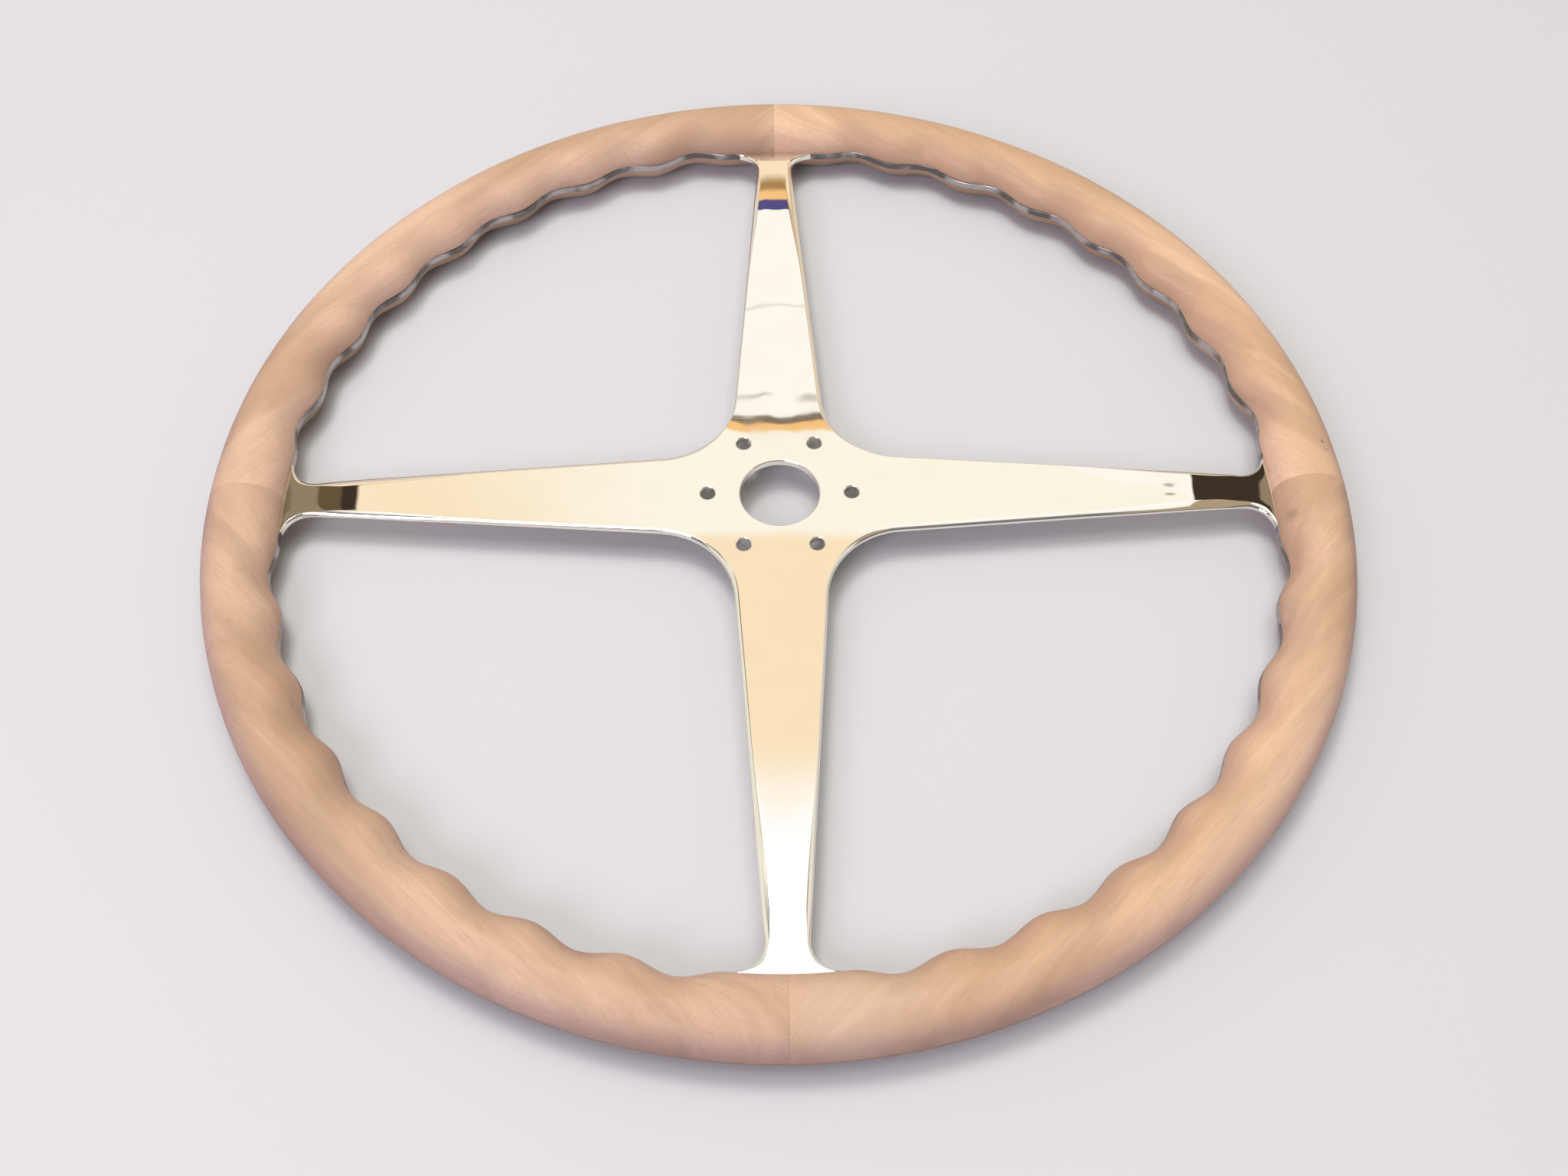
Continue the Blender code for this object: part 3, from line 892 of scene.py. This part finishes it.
def make_floor():
    """A plain pale floor, which fades into the pale studio some way off."""
    bpy.ops.mesh.primitive_circle_add(vertices=FLOOR_SIDES, radius=FLOOR_RADIUS,
                                      fill_type="NGON", location=(0, 0, -FLOOR_DROP))
    floor = bpy.context.object
    floor.name = "floor"
    material, tree, shader = new_material("pale_floor")
    shader.inputs["Base Color"].default_value = FLOOR_COLOUR
    shader.inputs["Roughness"].default_value = FLOOR_ROUGHNESS
    coords = add_node(tree, "ShaderNodeTexCoord").outputs["Object"]
    away = add_node(tree, "ShaderNodeVectorMath", {0: coords}, operation="LENGTH")
    solid = rise(tree, away.outputs["Value"], FLOOR_RADIUS, FLOOR_FADE_START)
    tree.links.new(solid, shader.inputs["Alpha"])
    floor.data.materials.append(material)


# What the world's patches are painted with
PALE = (0.70, 0.69, 0.69)
GREY = (0.17, 0.17, 0.18)
CEILING = (0.26, 0.26, 0.28)
WHITE = (1.07, 1.06, 1.05)
GLARE = (1.13, 1.16, 1.25)
IVORY = (1.05, 1.03, 0.95)
CREAM = (1.03, 0.86, 0.63)
TAN = (0.84, 0.70, 0.50)
VIOLET = (0.10, 0.09, 0.28)
GOLD = (1.00, 0.62, 0.27)
BROWN = (0.44, 0.26, 0.11)
KHAKI = (0.30, 0.24, 0.16)
LIGHT_KHAKI = (0.45, 0.36, 0.24)
UMBER = (0.14, 0.095, 0.055)
DARK = (0.05, 0.034, 0.026)

# Degrees over the horizon, and how far upright edges lean for each degree
CEILING_LINE = 51.3
EDGE_LEAN = -0.6
RIPPLE = 0.7


def make_world():
    """Surroundings for the polished metal to mirror.

    They aren't a plain studio: the patches were fitted, by measuring, to the
    reflections in the reference photograph, for this script's camera. Directions are in
    degrees, with azimuths from +Y towards +X. One patch has a range of the direction's X
    share instead of azimuths. Under 17 degrees over the horizon all is plain pale.
    """
    world = bpy.data.worlds.new("studio")
    bpy.context.scene.world = world
    world.use_nodes = True
    tree = world.node_tree
    coords = add_node(tree, "ShaderNodeTexCoord").outputs["Generated"]
    parts = add_node(tree, "ShaderNodeSeparateXYZ", {0: coords}).outputs
    degrees = 180 / math.pi
    elevation = maths(tree, "MULTIPLY", maths(tree, "ARCSINE", parts["Z"]), degrees)
    azimuth = maths(tree, "MULTIPLY", maths(tree, "ARCTAN2", parts["X"], parts["Y"]), degrees)
    ripple = maths(tree, "SUBTRACT", noise_value(tree, coords, 30, 2, 0.6), 0.5)
    rippled_elevation = maths(tree, "ADD", elevation, maths(tree, "MULTIPLY", ripple, RIPPLE))
    over_line = maths(tree, "SUBTRACT", elevation, CEILING_LINE)
    slant = maths(tree, "MULTIPLY", over_line, EDGE_LEAN)
    slant = maths(tree, "MULTIPLY", slant, maths(tree, "SIGN", azimuth))
    slanted_azimuth = maths(tree, "ADD", azimuth, slant)

    def between(value, low, high, softness):
        """1 from low to high, with soft ends."""
        return maths(tree, "MULTIPLY", rise(tree, value, low - softness, low + softness),
                     rise(tree, value, high + softness, high - softness))

    def patch(base, tint, azimuths, elevations, softness, strength=1.0, height=elevation,
              turn=azimuth):
        """Paint a tint over a base where turn and height are in their ranges."""
        across = between(turn, *azimuths, softness[0])
        up = between(height, *elevations, softness[1])
        factor = maths(tree, "MULTIPLY", maths(tree, "MULTIPLY", across, up), strength)
        return mix(tree, factor, base, tint)

    # Plain bands, and the far side's white wall and ceiling
    colour = mix(tree, rise(tree, elevation, 17, 26), PALE, GREY)
    colour = mix(tree, rise(tree, elevation, 47, 60), colour, CEILING)
    colour = patch(colour, WHITE, (-50, 50), (41.4, 95), (10, 0.5))
    colour = mix(tree, rise(tree, elevation, 66, 70), colour, WHITE)
    colour = patch(colour, IVORY, (-60, 60), (CEILING_LINE, 60), (10, 0.1))
    colour = patch(colour, CREAM, (-30, 12), (55.1, 75), (6, 0.25))
    colour = patch(colour, GLARE, (-50, 50), (64.3, 95), (10, 2.2))
    colour = patch(colour, CREAM, (-40, -13), (46, 60), (8, 2), 0.9)

    # Thin lines round where the far wall meets the ceiling
    colour = patch(colour, GOLD, (-12, 14), (51.0, 51.35), (2, 0.05), 1.0, rippled_elevation)
    colour = patch(colour, UMBER, (-12, 14), (50.80, 51.05), (2, 0.03), 0.9, rippled_elevation)
    colour = patch(colour, KHAKI, (-4, 0.4), (50.10, 50.24), (0.4, 0.05), 0.5, rippled_elevation)
    colour = patch(colour, KHAKI, (2.1, 6), (50.16, 50.40), (0.5, 0.08), 0.5, rippled_elevation)
    colour = patch(colour, KHAKI, (-12, 14), (47.00, 47.08), (2, 0.04), 0.3, rippled_elevation)

    # Side walls
    colour = patch(colour, IVORY, (-110, -26), (21, 43), (4, 2), 0.8)
    colour = patch(colour, IVORY, (-110, -48), (40, 52), (4, 2), 0.8)
    colour = patch(colour, IVORY, (48, 110), (21, 52), (4, 2), 0.8)
    colour = patch(colour, TAN, (26, 52), (21, 43), (4, 2))

    # The low strip on the far side, each colour inside the one before
    colour = patch(colour, VIOLET, (-23, 23), (21, 43.1), (2.5, 0.12), 1.0, rippled_elevation)
    colour = patch(colour, GOLD, (-24, 24), (21, 41.0), (2.5, 0.2), 1.0, rippled_elevation)
    colour = patch(colour, BROWN, (-24, 24), (21, 39.4), (2.5, 0.5))
    colour = patch(colour, CREAM, (-24, 24), (22, 37.5), (2.5, 1.0))

    # Dark openings and khaki at the sides, whose upright edges lean
    for tint, start, softness, strength in ((DARK, 26.3, 0.5, 1), (UMBER, 29.4, 0.35, 1),
                                            (KHAKI, 33.3, 0.3, 1), (UMBER, 37.3, 0.5, 0.6)):
        colour = patch(colour, tint, (-50, -start), (42, 54), (softness, 1.5), strength,
                       turn=slanted_azimuth)
    colour = patch(colour, LIGHT_KHAKI, (0.304, 0.9), (50, 82), (0.006, 1), turn=parts["X"])
    for tint, start in ((DARK, 26.8), (KHAKI, 38.3)):
        colour = patch(colour, tint, (start, 52), (42, 54), (0.3, 0.7), turn=slanted_azimuth)
    colour = patch(colour, KHAKI, (22.8, 23.3), (50.85, 51.15), (0.15, 0.08), 0.8)
    colour = patch(colour, KHAKI, (23.2, 23.7), (51.5, 51.75), (0.15, 0.08), 0.8)

    background = tree.nodes["Background"]
    tree.links.new(colour, background.inputs["Color"])
    background.inputs["Strength"].default_value = 1.0


def make_softbox(name, place, size, power, colour, mirrored):
    """A square soft light aimed at the wheel. It may be kept out of mirror reflections."""
    data = bpy.data.lights.new(name, "AREA")
    data.size = size
    data.energy = power
    data.color = colour
    light = bpy.data.objects.new(name, data)
    bpy.context.scene.collection.objects.link(light)
    light.location = place
    light.rotation_euler = Vector(place).to_track_quat("Z", "Y").to_euler()
    light.visible_camera = False
    light.visible_glossy = mirrored


WARM_LIGHT = (1.0, 0.98, 0.95)
COOL_LIGHT = (0.90, 0.82, 1.0)


def make_lights():
    """A large soft ceiling light, a small key for glints, and a cool fill by the camera."""
    make_softbox("ceiling", (0.05, 0.40, 3.2), 2.4, 59, WARM_LIGHT, False)
    make_softbox("key", (-0.32, 0.40, 1.9), 0.5, 13, WARM_LIGHT, True)
    make_softbox("fill", (-0.9, -1.4, 1.4), 1.0, 24, COOL_LIGHT, True)


def make_camera():
    """The camera, which looks down on the wheel from beyond 6 o'clock."""
    data = bpy.data.cameras.new("camera")
    data.lens = CAMERA_LENS
    data.sensor_width = CAMERA_SENSOR
    camera = bpy.data.objects.new("camera", data)
    bpy.context.scene.collection.objects.link(camera)
    back = Vector((math.sin(CAMERA_AZIMUTH) * math.cos(CAMERA_ELEVATION),
                   -math.cos(CAMERA_AZIMUTH) * math.cos(CAMERA_ELEVATION),
                   math.sin(CAMERA_ELEVATION)))
    level = Vector((0, 0, 1)).cross(back).normalized()
    upright = back.cross(level)
    right = level * math.cos(CAMERA_ROLL) + upright * math.sin(CAMERA_ROLL)
    up = upright * math.cos(CAMERA_ROLL) - level * math.sin(CAMERA_ROLL)
    turn = Matrix((right, up, back)).transposed().to_4x4()
    camera.matrix_world = Matrix.Translation(CAMERA_TARGET + back * CAMERA_DISTANCE) @ turn
    bpy.context.scene.camera = camera


# ---------------------------------------------------------------- build

PIN_KNOT = ((0.2069, 0.0163, 0.0226), 1.3 * MM, 0.75, WOOD_KNOT)
PIN_KNOT_TAIL = ((0.2078, 0.0128, 0.0224), 1.6 * MM, 0.30, WOOD_KNOT)
RIM_STAIN = ((0.1899, -0.0158, 0.0200), 4.5 * MM, 0.32, WOOD_KNOT)
# A broad paler patch at the bottom of the rim: partly the wood's lighter figure, partly painted
# sheen
PALE_FIGURE_AND_SHEEN = ((0.0200, -0.2030, 0.0230), 44 * MM, 0.20, WOOD_PALE)
FRONT = (("upper_right", 1, (1.07, 1.035, 0.98), (PIN_KNOT, PIN_KNOT_TAIL)),
         ("upper_left", 2, (0.96, 0.94, 0.93), ()),
         ("lower_left", 3, (0.875, 0.85, 0.83), ()),
         ("lower_right", 4, (1.00, 0.97, 0.93), (RIM_STAIN, PALE_FIGURE_AND_SHEEN)))
# The back layer's tones are set darker than the front's: painted shade for the lower layer, with a
# little variation from quarter to quarter
SHADED_BACK = (("top", 5, (0.86, 0.85, 0.84), ()), ("left", 6, (0.89, 0.88, 0.86), ()),
        ("bottom", 7, (0.85, 0.83, 0.81), ()), ("right", 8, (0.88, 0.86, 0.85), ()))


def make_rim():
    """Make both wood layers, each of four quarters."""
    cutter = make_hole_cutter()
    for layer, side, shift, quarters in (("front", 1, 0, FRONT), ("back", -1, 0.5, SHADED_BACK)):
        for i, (place, seed, tone, marks) in enumerate(quarters):
            name = f"rim_{layer}_{place}"
            start = QUARTER * (i + shift)
            wood = make_walnut(name + "_walnut", seed, tone, start + QUARTER * 1.5, marks)
            make_rim_segment(name + "_wood", name, start, side, wood, cutter)
    bpy.data.objects.remove(cutter, do_unlink=True)


make_rim()
make_spider(make_polished_metal(), make_satin_metal())
make_screws(make_brass())
make_floor()
make_world()
make_lights()
make_camera()
bpy.context.scene.view_settings.view_transform = "Standard"
